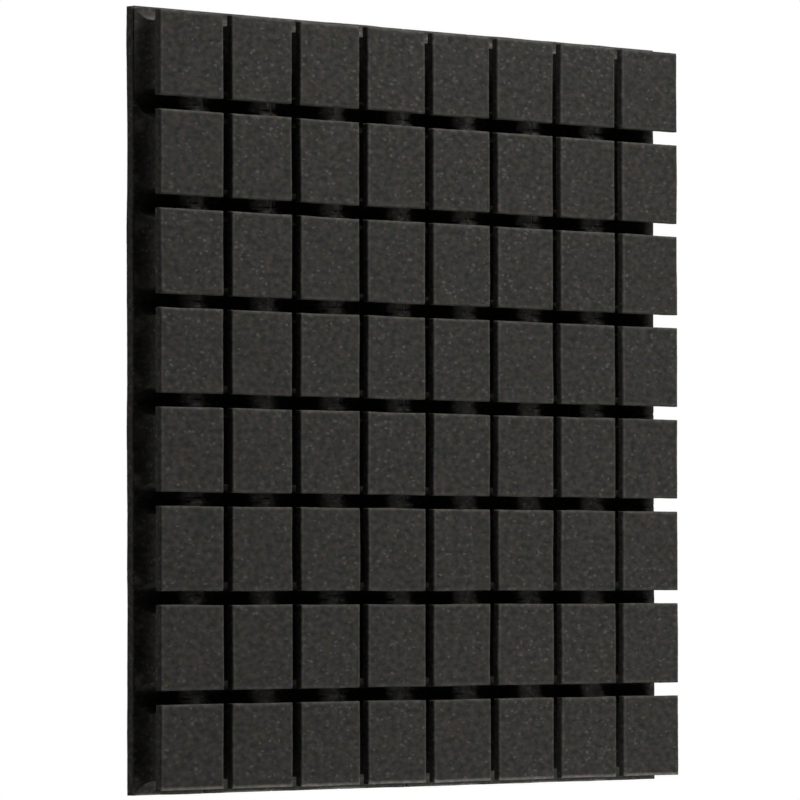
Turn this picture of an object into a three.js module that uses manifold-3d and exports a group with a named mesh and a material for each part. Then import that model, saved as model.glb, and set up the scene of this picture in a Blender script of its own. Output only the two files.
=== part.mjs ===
import * as THREE from 'three';
import { mergeVertices } from 'three/addons/utils/BufferGeometryUtils.js';
import Module from 'manifold-3d';

// Acoustic foam panel: a square wall tile of charcoal open-cell foam, in millimetres.
// X runs to the right, Y back to the wall and Z up, and the blocks face -Y.
// The origin is the centre of the flat back, which is glued to the wall.
// A thin sheet carries a grid of square blocks. Each groove between them is a narrow
// slot through the blocks' lips that opens into a wide channel with a round floor.
// The tile was cut from a larger slab along its grooves, so half a channel runs
// round its rim too.

// The tile and its sheet
const tileSize = 598;
const tileDepth = 35.5;
const sheetThickness = 7.5;

// The grid of blocks, and how many of them one piece of foam joins
const blocksPerSide = 8;
const blocksPerPiece = 2;

// The grooves: the slot, which is wider where the groove is level, and the channel with a round
// on each side of its narrow flat floor
const uprightSlotWidth = 9.3;
const levelSlotWidth = 10.6;
const lipThickness = 6;
const floorWidth = 2;
const channelRadius = 11;
const channelArcSteps = 8;

// The outermost lips stand back from the sheet's edge, less at the sides than at the ends
const sideLipInset = 1.7;
const endLipInset = 4;

// The foam left at the bottom of the groove between the blocks of one piece
const webThickness = 0.8;

// How far a cutting solid runs past what it cuts
const cutOverrun = 2;

// The foam's colour and finish
const foamColour = '#383733';
const foamRoughness = 0.95;
const foamMetalness = 0;

// The tile is sawn out of the slab along the rim's grooves, at the edge of their flat floor,
// so the outer blocks' feet end at the sheet's edge
const edgeTrim = floorWidth / 2;
const blockPitch = (tileSize + 2 * edgeTrim) / blocksPerSide;
const blockHeight = tileDepth - sheetThickness;
const channelWidth = floorWidth + 2 * channelRadius;

const wasm = await Module();
wasm.setup();

function toManifold(geometry) {
  const plain = geometry.clone();
  plain.deleteAttribute('normal');
  plain.deleteAttribute('uv');
  const merged = mergeVertices(plain);
  return new wasm.Manifold(new wasm.Mesh({
    numProp: 3,
    vertProperties: new Float32Array(merged.attributes.position.array),
    triVerts: new Uint32Array(merged.index.array),
  }));
}

function toGeometry(solid) {
  const mesh = solid.getMesh();
  const geometry = new THREE.BufferGeometry();
  geometry.setAttribute('position', new THREE.BufferAttribute(mesh.vertProperties, mesh.numProp));
  geometry.setIndex(new THREE.BufferAttribute(mesh.triVerts, 1));
  geometry.computeVertexNormals();
  return geometry;
}

function foamMesh(name, geometry) {
  const material = new THREE.MeshStandardMaterial({
    color: foamColour,
    roughness: foamRoughness,
    metalness: foamMetalness,
  });
  const mesh = new THREE.Mesh(geometry, material);
  mesh.name = name;
  return mesh;
}

// A groove's section, across in x and out from the sheet in y: the slot, the channel's
// straight walls, and the round floor that meets the sheet
function grooveSection(slotHalfWidth) {
  const channelHalfWidth = channelWidth / 2;
  const floorHalfWidth = floorWidth / 2;
  const lipUnderside = blockHeight - lipThickness;
  const section = new THREE.Shape();
  section.moveTo(floorHalfWidth, -cutOverrun);
  section.absarc(floorHalfWidth, channelRadius, channelRadius, -Math.PI / 2, 0, false);
  section.lineTo(channelHalfWidth, lipUnderside);
  section.lineTo(slotHalfWidth, lipUnderside);
  section.lineTo(slotHalfWidth, blockHeight + cutOverrun);
  section.lineTo(-slotHalfWidth, blockHeight + cutOverrun);
  section.lineTo(-slotHalfWidth, lipUnderside);
  section.lineTo(-channelHalfWidth, lipUnderside);
  section.absarc(-floorHalfWidth, channelRadius, channelRadius, Math.PI, 3 * Math.PI / 2, false);
  section.lineTo(-floorHalfWidth, -cutOverrun);
  section.closePath();
  return section;
}

// A cutting solid for one block's side of a groove, run past the block at both ends.
// An extruded arc has two steps for every curve segment.
function grooveCutter(slotHalfWidth, across, along) {
  const length = blockPitch + 2 * cutOverrun;
  const geometry = new THREE.ExtrudeGeometry(grooveSection(slotHalfWidth), {
    depth: length,
    bevelEnabled: false,
    curveSegments: channelArcSteps / 2,
  });
  geometry.translate(0, 0, -length / 2);
  const outward = new THREE.Vector3(0, -1, 0);
  geometry.applyMatrix4(new THREE.Matrix4().makeBasis(across, outward, along));
  return toManifold(geometry);
}

function uprightCutter(slotHalfWidth) {
  return grooveCutter(slotHalfWidth, new THREE.Vector3(1, 0, 0), new THREE.Vector3(0, 0, -1));
}

function levelCutter(slotHalfWidth) {
  return grooveCutter(slotHalfWidth, new THREE.Vector3(0, 0, 1), new THREE.Vector3(1, 0, 0));
}

const innerUpright = uprightCutter(uprightSlotWidth / 2);
const innerLevel = levelCutter(levelSlotWidth / 2);
const sideUpright = uprightCutter(edgeTrim + sideLipInset);
const endLevel = levelCutter(edgeTrim + endLipInset);

// A block: its square of foam, from groove middle to groove middle, less the four grooves.
// It stands on y = 0, and x and z are measured from its own middle.
function foamBlock(column, row) {
  const last = blocksPerSide - 1;
  const blank = new THREE.BoxGeometry(blockPitch, blockHeight, blockPitch);
  blank.translate(0, -blockHeight / 2, 0);
  const left = column === 0 ? sideUpright : innerUpright;
  const right = column === last ? sideUpright : innerUpright;
  const top = row === 0 ? endLevel : innerLevel;
  const bottom = row === last ? endLevel : innerLevel;
  const half = blockPitch / 2;
  return toManifold(blank)
    .subtract(left.translate([-half, 0, 0]))
    .subtract(right.translate([half, 0, 0]))
    .subtract(top.translate([0, 0, half]))
    .subtract(bottom.translate([0, 0, -half]));
}

// The web along the bottom of a groove, from one block's stem to the next one's
function rootWeb() {
  const web = new THREE.BoxGeometry(channelWidth, webThickness, blockPitch - channelWidth);
  web.translate(0, -webThickness / 2, 0);
  return toManifold(web);
}

// Neighbouring blocks of one row, joined at their roots, around the piece's own middle
function blockPiece(row, firstColumn, count) {
  let piece = null;
  for (let i = 0; i < count; i += 1) {
    const x = (i - (count - 1) / 2) * blockPitch;
    const block = foamBlock(firstColumn + i, row).translate([x, 0, 0]);
    if (piece === null) {
      piece = block;
      continue;
    }
    const web = rootWeb().translate([x - blockPitch / 2, 0, 0]);
    piece = piece.add(web).add(block);
  }
  return toGeometry(piece);
}

const panel = new THREE.Group();

// Everything hangs from the plane where the blocks meet the sheet
const sheetFront = new THREE.Group();
sheetFront.position.y = -sheetThickness;
panel.add(sheetFront);

const sheetGeometry = new THREE.BoxGeometry(tileSize, sheetThickness, tileSize);
sheetGeometry.translate(0, sheetThickness / 2, 0);
sheetFront.add(foamMesh('backing_sheet', sheetGeometry));

// Row 1 is at the top and column 1 at the left, seen from the front
for (let row = 0; row < blocksPerSide; row += 1) {
  for (let first = 0; first < blocksPerSide; first += blocksPerPiece) {
    const count = Math.min(blocksPerPiece, blocksPerSide - first);
    const name = `blocks_row_${row + 1}_columns_${first + 1}_${first + count}`;
    const mesh = foamMesh(name, blockPiece(row, first, count));
    mesh.position.x = (first + count / 2 - blocksPerSide / 2) * blockPitch;
    mesh.position.z = ((blocksPerSide - 1) / 2 - row) * blockPitch;
    sheetFront.add(mesh);
  }
}

export default panel;
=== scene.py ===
"""An acoustic foam panel: a square tile of charcoal foam with an eight by eight grid of blocks."""
import math

import bmesh
import bpy
from mathutils import Euler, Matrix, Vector


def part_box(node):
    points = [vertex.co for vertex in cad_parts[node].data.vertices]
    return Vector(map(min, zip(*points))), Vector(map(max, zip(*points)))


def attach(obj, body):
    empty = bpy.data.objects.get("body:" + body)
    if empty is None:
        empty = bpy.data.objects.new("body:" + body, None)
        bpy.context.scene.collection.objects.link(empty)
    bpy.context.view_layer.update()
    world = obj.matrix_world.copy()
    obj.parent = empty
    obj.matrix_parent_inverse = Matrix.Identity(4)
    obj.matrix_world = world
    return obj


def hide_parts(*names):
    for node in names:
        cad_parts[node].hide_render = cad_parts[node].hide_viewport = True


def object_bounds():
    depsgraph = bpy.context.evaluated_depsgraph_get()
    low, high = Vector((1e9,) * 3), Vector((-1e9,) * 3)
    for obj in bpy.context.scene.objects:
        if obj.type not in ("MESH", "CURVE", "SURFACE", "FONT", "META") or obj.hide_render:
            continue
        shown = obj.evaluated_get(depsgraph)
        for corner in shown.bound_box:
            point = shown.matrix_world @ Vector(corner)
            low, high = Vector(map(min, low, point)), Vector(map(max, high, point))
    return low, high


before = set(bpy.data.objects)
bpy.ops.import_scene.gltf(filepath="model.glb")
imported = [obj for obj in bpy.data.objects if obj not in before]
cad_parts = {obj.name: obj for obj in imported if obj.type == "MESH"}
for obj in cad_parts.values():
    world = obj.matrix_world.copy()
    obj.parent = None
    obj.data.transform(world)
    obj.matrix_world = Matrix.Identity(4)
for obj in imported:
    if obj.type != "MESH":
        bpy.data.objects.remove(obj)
cad_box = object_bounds()
scene = bpy.context.scene

MM = 0.001

# The tile's own sizes, from the frame
sheet_low, sheet_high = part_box("backing_sheet")
tile_half = sheet_high.x
sheet_front = sheet_low.y
sheet_thickness = sheet_high.y - sheet_low.y
block_height = sheet_front - cad_box[0].y

# The cuts, as the solids have them
BLOCKS_PER_SIDE = 8
BLOCKS_PER_PIECE = 2
SLOT_HALF_WIDTH = 4.65 * MM
LEVEL_SLOT_HALF_WIDTH = 5.3 * MM
LIP_THICKNESS = 6.0 * MM
FLOOR_HALF_WIDTH = 1.0 * MM
CHANNEL_RADIUS = 11.0 * MM
SIDE_LIP_INSET = 1.7 * MM
END_LIP_INSET = 4.0 * MM

edge_trim = FLOOR_HALF_WIDTH
channel_half_width = FLOOR_HALF_WIDTH + CHANNEL_RADIUS
block_pitch = 2 * (tile_half + edge_trim) / BLOCKS_PER_SIDE
lip_underside = block_height - LIP_THICKNESS

# How the blade leaves the foam: the rounds on its edges, the relief of its cells and the sway of
# the cuts
FRONT_EDGE_ROUND = 1.4 * MM
LIP_BACK_ROUND = 0.6 * MM
SHEET_EDGE_ROUND = 0.9 * MM
CELL_RELIEF = 0.12 * MM
CELL_RELIEF_SIZE = 2.6 * MM
CELL_RELIEF_DETAIL = 2.0
CELL_RELIEF_ROUGHNESS = 0.6
CUT_WANDER = 0.45 * MM
CUT_WANDER_SIZE = 60 * MM
CUT_WANDER_DETAIL = 1.0
CUT_SEED = 5

# The height above the sheet at which the relief and the sway are full
FULL_GROWTH_HEIGHT = 1.0 * MM

# A noise seldom leaves the middle half of its range, so this brings its swing up to about one
NOISE_GAIN = 4.0

# The foam's mesh: the steps across a block and across the sheet, and the steps down each part of
# their sides
STEPS_ACROSS = 60
SHEET_STEPS_ACROSS = 200
CHANNEL_STEPS = 9
STEM_STEPS = 5
LIP_STEPS = 6
ROUND_STEPS = 3
SHEET_STEPS = 5

# How near a height has to be to count as the lip's underside, and a place as the sheet's front
LIP_MARGIN = 0.01 * MM
FOOT_MARGIN = 0.001 * MM

# Further out or up than anything on the tile, for what the plain sheet doesn't have
OUT_OF_REACH = 1.0

# The foam's finish. Its cells are about 1 mm wide, and the grain, the windows and the pores are
# drawn a few times as wide so that they show. The cells are longer across the tile.
FOAM_COLOUR = "#393835"
FOAM_ROUGHNESS = 1.0
FOAM_SPECULAR = 0.03
CELL_STRETCH = 1.65
GRAIN_SIZE = 4.0 * MM
GRAIN_DETAIL = 1.0
GRAIN_CONTRAST = 1.22
TINT_SIZE = 4.0 * MM
TINT_CONTRAST = 0.54
# The windows' paler colour is a painted glint
WINDOW_GLINT_COLOUR = "#575553"
WINDOW_ROUGHNESS = 0.7
WINDOW_SIZE = 2.9 * MM
WINDOW_BEND = 0.8
WINDOW_RARITY = 3.2
WINDOW_RIM = 0.6
WINDOW_HEART = 0.1
PORE_SIZE = 3.0 * MM
PORE_DEPTH = 0.25 * MM
PORE_STRENGTH = 0.5
# Painted highlight: the colour next to the blocks' front edges is painted paler, most at the lowest
# edge
EDGE_PAINTED_HIGHLIGHT = 0.4
EDGE_PAINTED_HIGHLIGHT_REACH = 1.8 * MM
LOWEST_EDGE_PAINTED_HIGHLIGHT = 3.0
LOWEST_EDGE_PAINTED_HIGHLIGHT_REACH = 4.0 * MM

# The studio: the strength of the light from all round, and each soft light's name, place, side
# and power. The white surroundings are lit too, so some light comes from behind and below.
WHITE = (1, 1, 1, 1)
AMBIENT = 0.01
LIGHTS = [
    ("overhead_softbox", (0.15, -0.55, 2.12), 0.9, 61),
    ("front_softbox", (0.05, -0.95, 0.85), 0.4, 4.1),
    ("left_top_light", (-1.45, 0.10, 1.75), 0.6, 3),
    ("front_low_fill", (0.60, -1.20, -0.93), 0.6, 14.5),
    ("low_fill", (0.10, -0.10, -0.95), 0.4, 2.5),
    ("left_backdrop_light", (-1.98, 1.15, 0.20), 0.9, 7.6),
    ("back_left_light", (-1.15, 1.98, 0.20), 0.9, 10.5),
    ("back_right_light", (1.15, 1.98, 0.20), 0.9, 9),
    ("back_top_light", (0.34, 0.59, 2.09), 0.9, 9),
]

# The tile is a wall tile, held by its back, so it hangs above the floor. The floor is pale paint:
# near the tile it keeps the tile's shadow, and further off it is seen as white as the surroundings.
FLOOR_DROP = 0.7
FLOOR_REACH = 20.0
FLOOR_PAINT = 0.3
FLOOR_GLOW_NEAR = 0.6
FLOOR_GLOW_FROM = 0.8
FLOOR_GLOW_TO = 3.0

# The camera, from a fit of the tile's corners and grooves to the photograph: its place, its turn
# in degrees, its lens in millimetres, and how far it sees
CAMERA_PLACE = Vector((-3873.6, -3648.7, -144.7)) * MM
CAMERA_TURN = (91.621, 0.094, -46.734)
CAMERA_LENS = 303.45
CAMERA_SEES_TO = 100


def colour(text):
    """A colour from its sRGB hex value, in linear light."""
    channels = [int(text[i:i + 2], 16) / 255 for i in (1, 3, 5)]
    linear = [c / 12.92 if c <= 0.04045 else ((c + 0.055) / 1.055) ** 2.4 for c in channels]
    return (*linear, 1.0)


def node(tree, kind, links=None, **settings):
    """A node with its settings. Each input is set to a value, or linked from a socket or from a
    node's first output."""
    made = tree.nodes.new(kind)
    for name, value in settings.items():
        setattr(made, name, value)
    for key, value in (links or {}).items():
        socket = made.inputs[key]
        if isinstance(value, bpy.types.Node):
            value = value.outputs[0]
        if isinstance(value, bpy.types.NodeSocket):
            tree.links.new(value, socket)
        else:
            socket.default_value = value
    return made


def open_cell_foam():
    """Charcoal polyurethane foam cut with a blade: dead matt, with the soft uneven grain of its
    open cells, a faint play of warm and cool tints, pale specks where a cell keeps its window
    (their paleness a painted glint), and a painted highlight along the blocks' front edges."""
    material = bpy.data.materials.new("charcoal_open_cell_foam")
    material.use_nodes = True
    tree = material.node_tree
    tree.nodes.clear()
    place = node(tree, "ShaderNodeTexCoord").outputs["Object"]
    stretched = node(tree, "ShaderNodeMapping",
                     {"Vector": place, "Scale": (1 / CELL_STRETCH, 1.0, 1.0)})

    # The grain makes the foam lighter and darker in steps of its cells
    grain = node(tree, "ShaderNodeTexNoise",
                 {"Vector": stretched, "Scale": 1 / GRAIN_SIZE, "Detail": GRAIN_DETAIL})
    swing = node(tree, "ShaderNodeMath",
                 {0: grain.outputs["Fac"], 1: GRAIN_CONTRAST, 2: -GRAIN_CONTRAST / 2},
                 operation="MULTIPLY_ADD")
    tone = node(tree, "ShaderNodeMath", {0: swing}, operation="EXPONENT")

    # The dye takes unevenly, a little warmer here and cooler there
    dye = node(tree, "ShaderNodeTexNoise",
               {"Vector": stretched, "Scale": 1 / TINT_SIZE, "Detail": GRAIN_DETAIL})
    tint = node(tree, "ShaderNodeVectorMath",
                {0: dye.outputs["Color"], 1: (TINT_CONTRAST,) * 3,
                 2: (1 - TINT_CONTRAST / 2,) * 3}, operation="MULTIPLY_ADD")
    tinted = node(tree, "ShaderNodeVectorMath", {0: tint, 1: colour(FOAM_COLOUR)[:3]},
                  operation="MULTIPLY")

    # A painted highlight: the colour next to a block's front edges is painted paler, for the light
    # that comes through the cells there, and most at the lowest edge, over the pale ground.
    edge = node(tree, "ShaderNodeAttribute", attribute_name="edge_distance")
    height = node(tree, "ShaderNodeSeparateXYZ", {"Vector": place}).outputs["Z"]
    lowest = END_LIP_INSET - tile_half
    strength = node(tree, "ShaderNodeMapRange",
                    {"Value": height, "From Min": lowest + LOWEST_EDGE_PAINTED_HIGHLIGHT_REACH, "From Max": lowest,
                     "To Min": 1.0 + EDGE_PAINTED_HIGHLIGHT, "To Max": 1.0 + LOWEST_EDGE_PAINTED_HIGHLIGHT},
                    interpolation_type="SMOOTHSTEP")
    painted_edge_highlight = node(tree, "ShaderNodeMapRange",
                {"Value": edge.outputs["Fac"], "From Min": EDGE_PAINTED_HIGHLIGHT_REACH, "From Max": 0.0,
                 "To Min": 1.0, "To Max": strength}, interpolation_type="SMOOTHSTEP")
    level = node(tree, "ShaderNodeMath", {0: tone, 1: painted_edge_highlight}, operation="MULTIPLY")
    foam_colour = node(tree, "ShaderNodeVectorMath", {0: tinted, "Scale": level},
                       operation="SCALE")

    # Some cells keep more of their window than the others. It is smoother than the struts around
    # it, and its colour is painted paler, a painted glint; its outline is uneven.
    bend = node(tree, "ShaderNodeTexNoise",
                {"Vector": stretched, "Scale": 1 / WINDOW_SIZE, "Detail": 0.0})
    shift = node(tree, "ShaderNodeVectorMath",
                 {0: bend.outputs["Color"], "Scale": WINDOW_BEND * WINDOW_SIZE},
                 operation="SCALE")
    bent = node(tree, "ShaderNodeVectorMath", {0: stretched, 1: shift}, operation="ADD")
    cells = node(tree, "ShaderNodeTexVoronoi", {"Vector": bent, "Scale": 1 / WINDOW_SIZE})
    draw = node(tree, "ShaderNodeSeparateColor", {"Color": cells.outputs["Color"]})
    kept = node(tree, "ShaderNodeMath", {0: draw.outputs["Green"], 1: WINDOW_RARITY},
                operation="POWER")
    inside = node(tree, "ShaderNodeMapRange",
                  {"Value": cells.outputs["Distance"], "From Min": WINDOW_RIM,
                   "From Max": WINDOW_HEART}, interpolation_type="SMOOTHSTEP")
    window_and_glint = node(tree, "ShaderNodeMath", {0: kept, 1: inside}, operation="MULTIPLY")
    with_window_glints = node(tree, "ShaderNodeMix",
                        {"Factor": window_and_glint, "A": foam_colour, "B": colour(WINDOW_GLINT_COLOUR)},
                        data_type="RGBA")
    roughness = node(tree, "ShaderNodeMapRange",
                     {"Value": window_and_glint, "To Min": FOAM_ROUGHNESS, "To Max": WINDOW_ROUGHNESS})

    pores = node(tree, "ShaderNodeTexVoronoi", {"Vector": stretched, "Scale": 1 / PORE_SIZE},
                 feature="SMOOTH_F1")
    bump = node(tree, "ShaderNodeBump",
                {"Height": pores.outputs["Distance"], "Strength": PORE_STRENGTH,
                 "Distance": PORE_DEPTH})
    foam = node(tree, "ShaderNodeBsdfPrincipled",
                {"Base Color": with_window_glints.outputs["Result"], "Roughness": roughness,
                 "Specular IOR Level": FOAM_SPECULAR, "Normal": bump})
    node(tree, "ShaderNodeOutputMaterial", {"Surface": foam})
    return material


def quarter_turns(steps, first=1):
    """The angles of a quarter of a round, in even steps."""
    return [i / steps * math.pi / 2 for i in range(first, steps + 1)]


def profile_object(name, points):
    """A profile's points as an object, for the tree to read."""
    mesh = bpy.data.meshes.new(name)
    mesh.from_pydata([(x, y, 0) for x, y in points], [], [])
    return bpy.data.objects.new(name, mesh)


def groove_profile():
    """The side of a block from its foot to its front face, as (distance from the groove's middle,
    height above the sheet): the channel's round, the stem, the lip and its rounded front edge."""
    channel = [(FLOOR_HALF_WIDTH + CHANNEL_RADIUS * math.sin(turn),
                CHANNEL_RADIUS * (1 - math.cos(turn)))
               for turn in quarter_turns(CHANNEL_STEPS, first=0)]
    stem_height = lip_underside - CHANNEL_RADIUS
    stem = [(channel_half_width, CHANNEL_RADIUS + stem_height * i / STEM_STEPS)
            for i in range(1, STEM_STEPS + 1)]
    underside_width = channel_half_width - SLOT_HALF_WIDTH - LIP_BACK_ROUND
    underside = [(channel_half_width - underside_width * i / (LIP_STEPS - 1), lip_underside)
                 for i in range(1, LIP_STEPS)]
    back_edge = [(SLOT_HALF_WIDTH + LIP_BACK_ROUND * (1 - math.sin(turn)),
                  lip_underside + LIP_BACK_ROUND * (1 - math.cos(turn)))
                 for turn in quarter_turns(ROUND_STEPS)]
    side_height = LIP_THICKNESS - LIP_BACK_ROUND - FRONT_EDGE_ROUND
    side = [(SLOT_HALF_WIDTH, lip_underside + LIP_BACK_ROUND + side_height * i / LIP_STEPS)
            for i in range(1, LIP_STEPS + 1)]
    front_edge = [(SLOT_HALF_WIDTH + FRONT_EDGE_ROUND * (1 - math.cos(turn)),
                   block_height - FRONT_EDGE_ROUND * (1 - math.sin(turn)))
                  for turn in quarter_turns(ROUND_STEPS)]
    return profile_object("groove_profile",
                          channel + stem + underside + back_edge + side + front_edge)


def sheet_profile():
    """The sheet's edge from its back face to its front face, in the same form."""
    back_edge = [(SHEET_EDGE_ROUND * (1 - math.sin(turn)),
                  -sheet_thickness + SHEET_EDGE_ROUND * (1 - math.cos(turn)))
                 for turn in quarter_turns(ROUND_STEPS, first=0)]
    side_height = sheet_thickness - SHEET_EDGE_ROUND
    side = [(0, -sheet_thickness + SHEET_EDGE_ROUND + side_height * i / (SHEET_STEPS - 1))
            for i in range(1, SHEET_STEPS)]
    return profile_object("sheet_profile", back_edge + side)


def cut_foam_tree():
    """Square slabs of foam in a line, each with a profile carried round its four sides, and then
    roughened by its cells and by the cut."""
    tree = bpy.data.node_groups.new("cut_foam", "GeometryNodeTree")
    inputs = {
        "Profile": "Object", "Steps Across": "Int", "Steps Deep": "Int", "Count": "Int",
        "First Middle": "Vector", "Pitch": "Float", "Front": "Float", "Top": "Float",
        "Rim Reach": "Float", "Lip Underside": "Float", "Channel Half Width": "Float",
        "Slot Half Width": "Float", "Level Slot Half Width": "Float",
        "Side Slot": "Float", "End Slot": "Float",
        "Open Foot": "Bool", "Relief": "Float", "Relief Size": "Float",
        "Wander": "Float", "Wander Size": "Float", "Seed": "Int", "Foam": "Material",
    }
    tree.interface.new_socket("Geometry", in_out="OUTPUT", socket_type="NodeSocketGeometry")
    for name, kind in inputs.items():
        tree.interface.new_socket(name, in_out="INPUT", socket_type="NodeSocket" + kind)
    given = node(tree, "NodeGroupInput").outputs

    # A finely divided cube, from -1 to 1, stands at the middle of each block and knows that middle
    offset = node(tree, "ShaderNodeCombineXYZ", {"X": given["Pitch"]})
    line = node(tree, "GeometryNodeMeshLine",
                {"Count": given["Count"], "Start Location": given["First Middle"],
                 "Offset": offset})
    position = node(tree, "GeometryNodeInputPosition")
    marked = node(tree, "GeometryNodeStoreNamedAttribute",
                  {"Geometry": line, "Name": "block_middle", "Value": position},
                  data_type="FLOAT_VECTOR", domain="POINT")
    across = node(tree, "ShaderNodeMath", {0: given["Steps Across"], 1: 1.0}, operation="ADD")
    deep = node(tree, "ShaderNodeMath", {0: given["Steps Deep"], 1: 1.0}, operation="ADD")
    cube = node(tree, "GeometryNodeMeshCube",
                {"Size": (2.0, 2.0, 2.0), "Vertices X": across, "Vertices Y": deep,
                 "Vertices Z": across})
    placed = node(tree, "GeometryNodeInstanceOnPoints", {"Points": marked, "Instance": cube})
    blanks = node(tree, "GeometryNodeRealizeInstances", {"Geometry": placed})

    # Each step down the cube's side takes its place from the profile's point of that number
    middle = node(tree, "GeometryNodeInputNamedAttribute", {"Name": "block_middle"},
                  data_type="FLOAT_VECTOR")
    local = node(tree, "ShaderNodeVectorMath", {0: position, 1: middle}, operation="SUBTRACT")
    here = node(tree, "ShaderNodeSeparateXYZ", {"Vector": local}).outputs
    centre = node(tree, "ShaderNodeSeparateXYZ", {"Vector": middle}).outputs
    share_deep = node(tree, "ShaderNodeMath", {0: here["Y"], 1: -0.5, 2: 0.5},
                      operation="MULTIPLY_ADD")
    step = node(tree, "ShaderNodeMath", {0: share_deep, 1: given["Steps Deep"]},
                operation="MULTIPLY")
    step_number = node(tree, "ShaderNodeMath", {0: step}, operation="ROUND")
    profile = node(tree, "GeometryNodeObjectInfo", {"Object": given["Profile"]})
    point = node(tree, "GeometryNodeSampleIndex",
                 {"Geometry": profile.outputs["Geometry"], "Value": position,
                  "Index": step_number}, data_type="FLOAT_VECTOR", domain="POINT")
    profile_point = node(tree, "ShaderNodeSeparateXYZ", {"Vector": point}).outputs
    inset = profile_point["X"]
    height = profile_point["Y"]

    # The profile has the lip of an upright slot. The lip reaches less far over a level one, and
    # has its own reach where it faces the tile's rim.
    half_pitch = node(tree, "ShaderNodeMath", {0: given["Pitch"], 1: 0.5}, operation="MULTIPLY")
    inset_half = node(tree, "ShaderNodeMath", {0: half_pitch, 1: inset}, operation="SUBTRACT")
    lip_base = node(tree, "ShaderNodeMath", {0: given["Lip Underside"], 1: LIP_MARGIN},
                    operation="SUBTRACT")
    in_lip = node(tree, "ShaderNodeMath", {0: height, 1: lip_base}, operation="GREATER_THAN")
    lip_reach = node(tree, "ShaderNodeMath",
                     {0: given["Channel Half Width"], 1: given["Slot Half Width"]},
                     operation="SUBTRACT")
    reach_here = node(tree, "ShaderNodeMath", {0: given["Channel Half Width"], 1: inset},
                      operation="SUBTRACT")

    def half_width(axis, inner_slot, rim_slot):
        """From a block's middle to its side along one axis, at this height."""
        same_way = node(tree, "ShaderNodeMath", {0: here[axis], 1: centre[axis]},
                        operation="MULTIPLY")
        outward = node(tree, "ShaderNodeMath", {0: same_way, 1: 0.0}, operation="GREATER_THAN")
        off_centre = node(tree, "ShaderNodeMath", {0: centre[axis]}, operation="ABSOLUTE")
        outermost = node(tree, "ShaderNodeMath", {0: off_centre, 1: given["Rim Reach"]},
                         operation="GREATER_THAN")
        at_rim = node(tree, "ShaderNodeMath", {0: outward, 1: outermost}, operation="MULTIPLY")
        wider = node(tree, "ShaderNodeMath", {0: rim_slot, 1: inner_slot}, operation="SUBTRACT")
        slot = node(tree, "ShaderNodeMath", {0: wider, 1: at_rim, 2: inner_slot},
                    operation="MULTIPLY_ADD")
        own_reach = node(tree, "ShaderNodeMath", {0: given["Channel Half Width"], 1: slot},
                         operation="SUBTRACT")
        stretch = node(tree, "ShaderNodeMath", {0: own_reach, 1: lip_reach}, operation="DIVIDE")
        change = node(tree, "ShaderNodeMath", {0: stretch, 1: 1.0}, operation="SUBTRACT")
        extra = node(tree, "ShaderNodeMath", {0: reach_here, 1: change}, operation="MULTIPLY")
        return node(tree, "ShaderNodeMath", {0: extra, 1: in_lip, 2: inset_half},
                    operation="MULTIPLY_ADD")

    half_x = half_width("X", given["Slot Half Width"], given["Side Slot"])
    half_z = half_width("Z", given["Level Slot Half Width"], given["End Slot"])
    cut_x = node(tree, "ShaderNodeMath", {0: here["X"], 1: half_x, 2: centre["X"]},
                 operation="MULTIPLY_ADD")
    cut_y = node(tree, "ShaderNodeMath", {0: given["Front"], 1: height}, operation="SUBTRACT")
    cut_z = node(tree, "ShaderNodeMath", {0: here["Z"], 1: half_z, 2: centre["Z"]},
                 operation="MULTIPLY_ADD")
    cut = node(tree, "ShaderNodeCombineXYZ", {"X": cut_x, "Y": cut_y, "Z": cut_z})

    def edge_gap(axis, half):
        """From this place to the nearer side of the block along one axis."""
        share_out = node(tree, "ShaderNodeMath", {0: here[axis]}, operation="ABSOLUTE")
        share_left = node(tree, "ShaderNodeMath", {0: 1.0, 1: share_out}, operation="SUBTRACT")
        return node(tree, "ShaderNodeMath", {0: half, 1: share_left}, operation="MULTIPLY")

    nearest_edge = node(tree, "ShaderNodeMath",
                        {0: edge_gap("X", half_x), 1: edge_gap("Z", half_z)},
                        operation="MINIMUM")
    below_front = node(tree, "ShaderNodeMath", {0: given["Top"], 1: height},
                       operation="SUBTRACT")
    edge_distance = node(tree, "ShaderNodeMath", {0: below_front, 1: nearest_edge},
                         operation="ADD")
    measured = node(tree, "GeometryNodeStoreNamedAttribute",
                    {"Geometry": blanks, "Name": "edge_distance", "Value": edge_distance},
                    data_type="FLOAT", domain="POINT")
    shaped = node(tree, "GeometryNodeSetPosition", {"Geometry": measured, "Position": cut})

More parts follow.
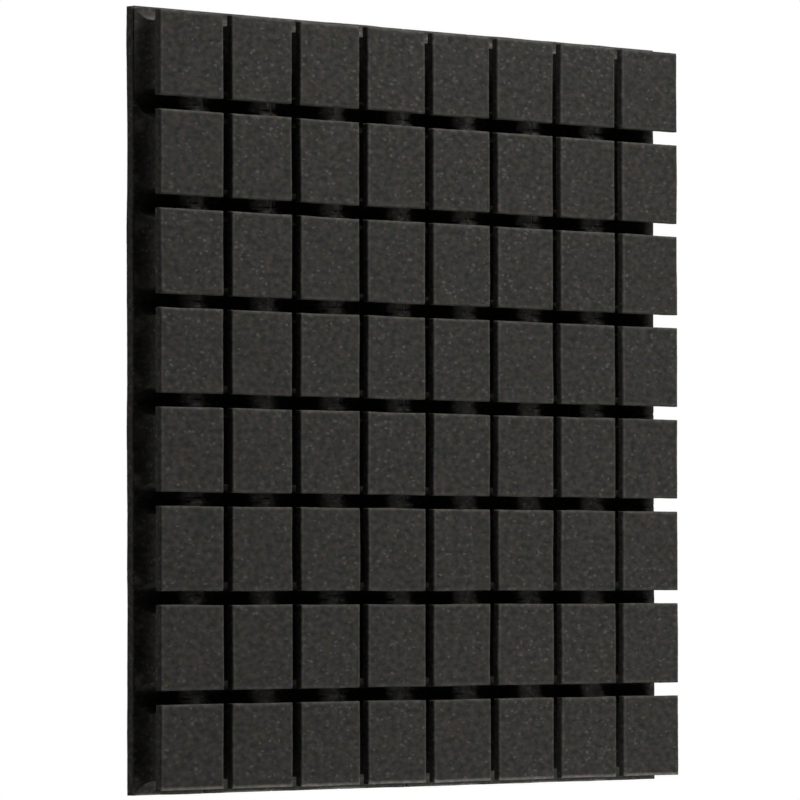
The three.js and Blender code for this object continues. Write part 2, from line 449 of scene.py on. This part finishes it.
    # Cells raise and sink the skin, and the cut wanders, but the foot stays flat on its sheet:
    # both grow from nothing just above it
    now = node(tree, "ShaderNodeSeparateXYZ", {"Vector": position}).outputs["Y"]
    off_foot = node(tree, "ShaderNodeMath", {0: given["Front"], 1: now}, operation="SUBTRACT")
    growth = node(tree, "ShaderNodeMapRange",
                  {"Value": off_foot, "From Min": 0.0, "From Max": FULL_GROWTH_HEIGHT})
    closed_foot = node(tree, "ShaderNodeMath", {0: 1.0, 1: given["Open Foot"]},
                       operation="SUBTRACT")
    free = node(tree, "ShaderNodeMath", {0: growth, 1: closed_foot}, operation="MAXIMUM")
    relief_scale = node(tree, "ShaderNodeMath", {0: 1.0, 1: given["Relief Size"]},
                        operation="DIVIDE")
    relief = node(tree, "ShaderNodeTexNoise",
                  {"Vector": position, "W": given["Seed"], "Scale": relief_scale,
                   "Detail": CELL_RELIEF_DETAIL, "Roughness": CELL_RELIEF_ROUGHNESS},
                  noise_dimensions="4D")
    bulge = node(tree, "ShaderNodeMath",
                 {0: relief.outputs["Fac"], 1: NOISE_GAIN, 2: -NOISE_GAIN / 2},
                 operation="MULTIPLY_ADD")
    relief_height = node(tree, "ShaderNodeMath", {0: given["Relief"], 1: free},
                         operation="MULTIPLY")
    rise = node(tree, "ShaderNodeMath", {0: bulge, 1: relief_height}, operation="MULTIPLY")
    normal = node(tree, "GeometryNodeInputNormal")
    swell = node(tree, "ShaderNodeVectorMath", {0: normal, "Scale": rise}, operation="SCALE")
    wander_scale = node(tree, "ShaderNodeMath", {0: 1.0, 1: given["Wander Size"]},
                        operation="DIVIDE")
    sway = node(tree, "ShaderNodeTexNoise",
                {"Vector": position, "W": given["Seed"], "Scale": wander_scale,
                 "Detail": CUT_WANDER_DETAIL}, noise_dimensions="4D")
    swing = node(tree, "ShaderNodeVectorMath",
                 {0: sway.outputs["Color"], 1: (NOISE_GAIN,) * 3, 2: (-NOISE_GAIN / 2,) * 3},
                 operation="MULTIPLY_ADD")
    wander_width = node(tree, "ShaderNodeMath", {0: given["Wander"], 1: free},
                        operation="MULTIPLY")
    wander = node(tree, "ShaderNodeVectorMath", {0: swing, "Scale": wander_width},
                  operation="SCALE")
    moved = node(tree, "ShaderNodeVectorMath", {0: swell, 1: wander}, operation="ADD")
    rough = node(tree, "GeometryNodeSetPosition", {"Geometry": shaped, "Offset": moved})

    # The foot's face is left open here, because it is capped with one flat face later
    foot_from = node(tree, "ShaderNodeMath", {0: given["Front"], 1: FOOT_MARGIN},
                     operation="SUBTRACT")
    on_sheet = node(tree, "ShaderNodeMath", {0: now, 1: foot_from}, operation="GREATER_THAN")
    foot = node(tree, "ShaderNodeMath", {0: on_sheet, 1: given["Open Foot"]},
                operation="MULTIPLY")
    opened = node(tree, "GeometryNodeDeleteGeometry", {"Geometry": rough, "Selection": foot},
                  domain="FACE", mode="ALL")
    smooth = node(tree, "GeometryNodeSetShadeSmooth", {"Geometry": opened})
    whole = node(tree, "GeometryNodeRealizeInstances", {"Geometry": smooth})
    finished = node(tree, "GeometryNodeSetMaterial",
                    {"Geometry": whole, "Material": given["Foam"]})
    node(tree, "NodeGroupOutput", {"Geometry": finished})
    return tree


def cut_piece(name, tree, values):
    """One piece of foam as a plain mesh: the tree is run on it once, and its open feet are
    capped."""
    maker = bpy.data.objects.new(name + "_maker", bpy.data.meshes.new(name + "_maker"))
    scene.collection.objects.link(maker)
    run = maker.modifiers.new("cut", "NODES")
    run.node_group = tree
    sockets = {s.name: s.identifier for s in tree.interface.items_tree if s.in_out == "INPUT"}
    for key, value in values.items():
        run[sockets[key]] = value
    evaluated = bpy.context.evaluated_depsgraph_get()
    mesh = bpy.data.meshes.new_from_object(maker.evaluated_get(evaluated), depsgraph=evaluated)
    bpy.data.objects.remove(maker)
    mesh.name = name
    solid = bmesh.new()
    solid.from_mesh(mesh)
    rim = [e for e in solid.edges if e.is_boundary]
    if rim:
        bmesh.ops.holes_fill(solid, edges=rim, sides=0)
    solid.to_mesh(mesh)
    solid.free()
    piece = bpy.data.objects.new(name, mesh)
    scene.collection.objects.link(piece)
    return piece


def foam_tile():
    """The backing sheet and the blocks, each standing for its own solid."""
    tree = cut_foam_tree()
    grooves = groove_profile()
    edge = sheet_profile()
    cut = {
        "Lip Underside": lip_underside, "Channel Half Width": channel_half_width,
        "Slot Half Width": SLOT_HALF_WIDTH, "Level Slot Half Width": LEVEL_SLOT_HALF_WIDTH,
        "Side Slot": edge_trim + SIDE_LIP_INSET, "End Slot": edge_trim + END_LIP_INSET,
        "Relief": CELL_RELIEF, "Relief Size": CELL_RELIEF_SIZE, "Wander": CUT_WANDER,
        "Wander Size": CUT_WANDER_SIZE, "Front": sheet_front, "Seed": CUT_SEED,
        "Foam": open_cell_foam(),
    }
    pieces = {"backing_sheet": cut_piece("foam_backing_sheet", tree, {
        **cut, "Profile": edge, "Steps Across": SHEET_STEPS_ACROSS,
        "Steps Deep": len(edge.data.vertices) - 1, "Count": 1, "First Middle": (0, 0, 0),
        "Pitch": 2 * tile_half, "Top": 0.0, "Rim Reach": OUT_OF_REACH,
        "Lip Underside": OUT_OF_REACH, "Open Foot": False,
    })}

    # Only the outermost blocks have their middle within a pitch of the tile's edge
    rim_reach = tile_half - block_pitch
    for row in range(BLOCKS_PER_SIDE):
        for first in range(0, BLOCKS_PER_SIDE, BLOCKS_PER_PIECE):
            last = first + BLOCKS_PER_PIECE
            middle_x = (first + 0.5 - BLOCKS_PER_SIDE / 2) * block_pitch
            middle_z = ((BLOCKS_PER_SIDE - 1) / 2 - row) * block_pitch
            solid = f"blocks_row_{row + 1}_columns_{first + 1}_{last}"
            pieces[solid] = cut_piece("foam_" + solid, tree, {
                **cut, "Profile": grooves, "Steps Across": STEPS_ACROSS,
                "Steps Deep": len(grooves.data.vertices) - 1, "Count": BLOCKS_PER_PIECE,
                "First Middle": (middle_x, 0, middle_z), "Pitch": block_pitch,
                "Top": block_height, "Rim Reach": rim_reach, "Open Foot": True,
            })
    for solid, piece in pieces.items():
        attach(piece, "root")
        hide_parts(solid)


def light(name, place, side, power):
    """A square soft light that looks at the tile."""
    lamp = bpy.data.lights.new(name, "AREA")
    lamp.shape = "SQUARE"
    lamp.size = side
    lamp.energy = power
    lit = bpy.data.objects.new(name, lamp)
    lit.location = place
    lit.rotation_euler = (-Vector(place)).to_track_quat("-Z", "Y").to_euler()
    lit.visible_camera = False
    scene.collection.objects.link(lit)


def seen(tree):
    """One where the surface is seen by the camera, in a gloss or through glass, and zero where it
    only lights the tile."""
    rays = node(tree, "ShaderNodeLightPath").outputs
    direct = node(tree, "ShaderNodeMath", {0: rays["Is Camera Ray"], 1: rays["Is Glossy Ray"]},
                  operation="MAXIMUM")
    return node(tree, "ShaderNodeMath", {0: direct, 1: rays["Is Transmission Ray"]},
                operation="MAXIMUM")


def surroundings():
    """A faint light from all round, which is seen as plain white."""
    world = bpy.data.worlds.new("white_studio")
    world.use_nodes = True
    tree = world.node_tree
    tree.nodes.clear()
    ambient = node(tree, "ShaderNodeBackground", {"Color": WHITE, "Strength": AMBIENT})
    backdrop = node(tree, "ShaderNodeBackground", {"Color": WHITE, "Strength": 1.0})
    mixed = node(tree, "ShaderNodeMixShader", {0: seen(tree), 1: ambient, 2: backdrop})
    node(tree, "ShaderNodeOutputWorld", {"Surface": mixed})
    scene.world = world


def studio_floor():
    """Matt pale paint, which is seen whiter the further it is from the tile."""
    level = cad_box[0].z - FLOOR_DROP
    mesh = bpy.data.meshes.new("floor")
    mesh.from_pydata([(-FLOOR_REACH, -FLOOR_REACH, level), (FLOOR_REACH, -FLOOR_REACH, level),
                      (FLOOR_REACH, FLOOR_REACH, level), (-FLOOR_REACH, FLOOR_REACH, level)],
                     [], [(0, 1, 2, 3)])
    floor = bpy.data.objects.new("floor", mesh)
    scene.collection.objects.link(floor)
    paint = bpy.data.materials.new("white_floor_paint")
    paint.use_nodes = True
    tree = paint.node_tree
    tree.nodes.clear()
    place = node(tree, "ShaderNodeTexCoord").outputs["Object"]
    away = node(tree, "ShaderNodeVectorMath", {0: place}, operation="LENGTH")
    haze = node(tree, "ShaderNodeMapRange",
                {"Value": away.outputs["Value"], "From Min": FLOOR_GLOW_FROM,
                 "From Max": FLOOR_GLOW_TO, "To Min": FLOOR_GLOW_NEAR, "To Max": 1.0},
                interpolation_type="SMOOTHSTEP")
    strength = node(tree, "ShaderNodeMath", {0: seen(tree), 1: haze}, operation="MULTIPLY")
    matt = node(tree, "ShaderNodeBsdfDiffuse", {"Color": (FLOOR_PAINT,) * 3 + (1,)})
    lift = node(tree, "ShaderNodeEmission", {"Color": WHITE, "Strength": strength})
    white = node(tree, "ShaderNodeAddShader", {0: matt, 1: lift})
    node(tree, "ShaderNodeOutputMaterial", {"Surface": white})
    mesh.materials.append(paint)


def camera():
    """The photograph's viewpoint: front left of the tile and a little below its middle."""
    lens = bpy.data.cameras.new("camera")
    lens.lens = CAMERA_LENS
    lens.clip_end = CAMERA_SEES_TO
    eye = bpy.data.objects.new("camera", lens)
    eye.location = CAMERA_PLACE
    eye.rotation_euler = Euler([math.radians(turn) for turn in CAMERA_TURN])
    scene.collection.objects.link(eye)
    scene.camera = eye


foam_tile()
camera()
surroundings()
for row in LIGHTS:
    light(*row)
studio_floor()
scene.view_settings.view_transform = "Standard"
